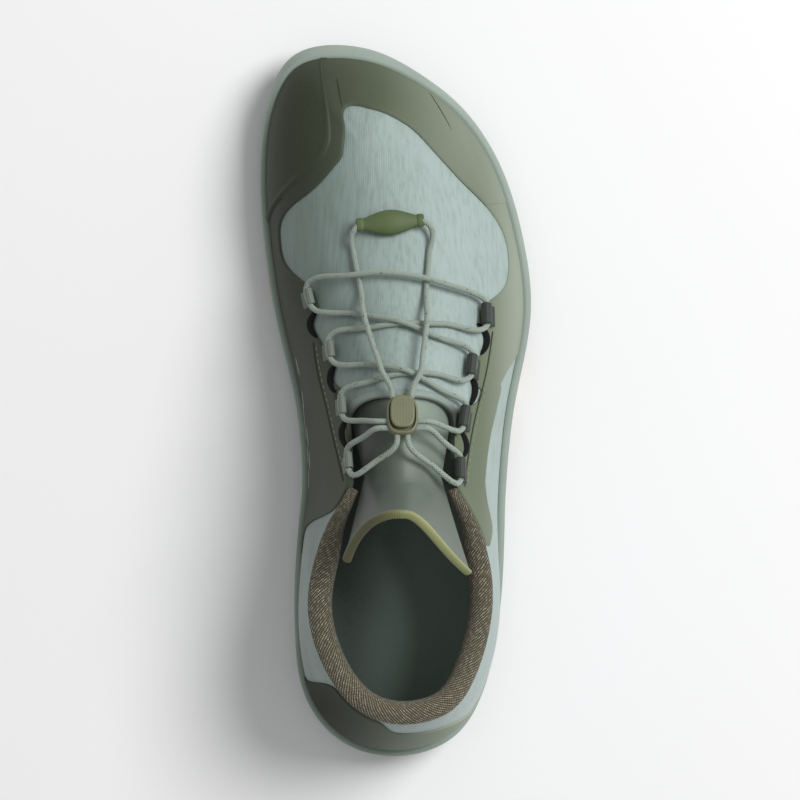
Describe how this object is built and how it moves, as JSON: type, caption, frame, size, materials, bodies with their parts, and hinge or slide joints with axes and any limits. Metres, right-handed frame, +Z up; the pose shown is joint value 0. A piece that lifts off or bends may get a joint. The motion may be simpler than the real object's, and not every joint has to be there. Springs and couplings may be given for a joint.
{
  "type": "barefoot shoe",
  "caption": "Low barefoot trail shoe for the right foot: wide toe box, thin lugged sole, film overlays, padded collar, elastic lace with cord lock and pull grip",
  "frame": {"origin": "on the ground under the middle of the shoe", "axes": "+Z up, +Y to the toe, +X to the outer (lateral) side"},
  "size_m": [0.1093, 0.2852, 0.1006],
  "materials": {
    "sage_rubber": "matte",
    "red_rubber": "satin",
    "insole_foam": "matte",
    "pale_textile": "matte",
    "olive_film": "satin",
    "collar_knit": "matte",
    "tongue_textile": "satin",
    "tongue_binding": "satin",
    "loop_webbing": "matte",
    "lace_cord": "matte",
    "toggle_plastic": "satin",
    "tab_rubber": "matte"
  },
  "bodies": {
    "root": {"outsole": "sage_rubber", "red_tread_insert": "red_rubber", "insole": "insole_foam", "upper": "pale_textile", "toe_cap": "olive_film", "big_toe_panel": "olive_film", "quarter_inner": "olive_film", "quarter_outer": "olive_film", "heel_counter": "olive_film", "collar": "collar_knit", "tongue": "tongue_textile", "tongue_binding": "tongue_binding", "loop_inner_1": "loop_webbing", "loop_inner_2": "loop_webbing", "loop_inner_3": "loop_webbing", "loop_inner_4": "loop_webbing", "loop_outer_1": "loop_webbing", "loop_outer_2": "loop_webbing", "loop_outer_3": "loop_webbing", "loop_outer_4": "loop_webbing", "lace_front_bar": "lace_cord", "lace_cross_1": "lace_cord", "lace_cross_2": "lace_cord", "lace_third_inner": "lace_cord", "lace_fourth_inner": "lace_cord", "lace_tail_inner": "lace_cord", "lace_third_outer": "lace_cord", "lace_fourth_outer": "lace_cord", "lace_tail_outer": "lace_cord", "lace_pull_inner": "lace_cord", "lace_pull_outer": "lace_cord", "toggle_body": "toggle_plastic", "toggle_button": "toggle_plastic", "pull_tab": "tab_rubber"}
  },
  "joints": []
}
